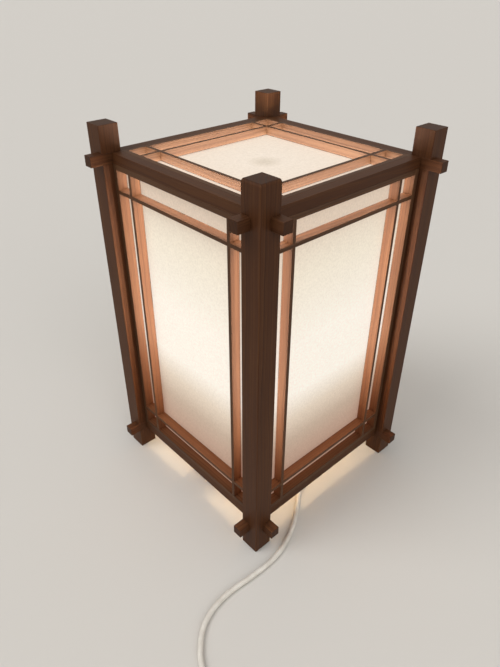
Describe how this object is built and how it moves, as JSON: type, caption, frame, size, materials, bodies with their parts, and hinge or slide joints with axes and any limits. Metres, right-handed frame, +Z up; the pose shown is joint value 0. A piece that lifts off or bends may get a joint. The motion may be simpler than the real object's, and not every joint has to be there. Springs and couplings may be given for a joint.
{
  "type": "andon floor lamp",
  "caption": "Square standing lantern: crossed wooden beams let into corner posts, thin half-lapped bars over glowing paper, a lamp inside and a switched cord.",
  "frame": {"origin": "centre of the footprint on the floor, between the four posts", "axes": "+Z up; -Y is the front left screen and +X the front right screen, so the front post stands at +X, -Y"},
  "size_m": [0.4844, 0.5682, 0.465],
  "materials": {
    "frame_wood": "satin, brown stain",
    "screen_wood": "satin, brown stain",
    "inner_wood": "planed",
    "paper": "matt, lit from behind",
    "zinc_steel": "zinc",
    "holder_moulding": "moulded",
    "brass": "satin",
    "lead_cover": "smooth",
    "cap_metal": "satin",
    "white_housing": "smooth",
    "opal_globe": "opal, lit",
    "cord_cover": "smooth",
    "tie_plastic": "smooth",
    "switch_plastic": "smooth",
    "plug_plastic": "smooth",
    "pin_metal": "nickel"
  },
  "bodies": {
    "lantern": {"back_left_crossbars": "screen_wood", "back_left_paper": "paper", "back_left_rails": "screen_wood", "back_left_stiles": "screen_wood", "back_left_uprights": "screen_wood", "back_right_crossbars": "screen_wood", "back_right_paper": "paper", "back_right_rails": "screen_wood", "back_right_stiles": "screen_wood", "back_right_uprights": "screen_wood", "coil_tie": "tie_plastic", "cord": "cord_cover", "cord_coil": "cord_cover", "cord_end": "cord_cover", "cord_grip": "cord_cover", "cord_tail": "cord_cover", "cross_bar": "inner_wood", "front_left_crossbars": "screen_wood", "front_left_paper": "paper", "front_left_rails": "screen_wood", "front_left_stiles": "screen_wood", "front_left_uprights": "screen_wood", "front_right_crossbars": "screen_wood", "front_right_paper": "paper", "front_right_rails": "screen_wood", "front_right_stiles": "screen_wood", "front_right_uprights": "screen_wood", "holder_body": "holder_moulding", "holder_contact": "brass", "holder_leads": "lead_cover", "holder_sleeve": "brass", "lower_beam_back_left": "frame_wood", "lower_beam_back_right": "frame_wood", "lower_beam_front_left": "frame_wood", "lower_beam_front_right": "frame_wood", "plug_body": "plug_plastic", "plug_pins": "pin_metal", "post_back": "frame_wood", "post_front": "frame_wood", "post_left": "frame_wood", "post_right": "frame_wood", "riser": "inner_wood", "switch_base": "switch_plastic", "switch_contacts": "brass", "switch_cover": "switch_plastic", "top_crossbars": "screen_wood", "top_paper": "paper", "top_rails": "screen_wood", "top_stiles": "screen_wood", "top_uprights": "screen_wood", "upper_beam_back_left": "frame_wood", "upper_beam_back_right": "frame_wood", "upper_beam_front_left": "frame_wood", "upper_beam_front_right": "frame_wood", "wood_screws": "zinc_steel"},
    "lamp": {"bulb_cap": "cap_metal", "bulb_contact": "brass", "bulb_globe": "opal_globe", "bulb_housing": "white_housing"},
    "rocker": {"switch_rocker": "switch_plastic"}
  },
  "joints": [
    {"name": "lamp_turn", "type": "hinge", "parent": "lantern", "child": "lamp", "pos_m": [0, 0, 0.112], "axis": [0, 0, 1], "range_deg": [0, 1080]},
    {"name": "rocker_tip", "type": "hinge", "parent": "lantern", "child": "rocker", "pos_m": [0.2667, -0.29785, 0.0143], "axis": [-0.3408, -0.9401, 0], "range_deg": [0, 16]}
  ]
}
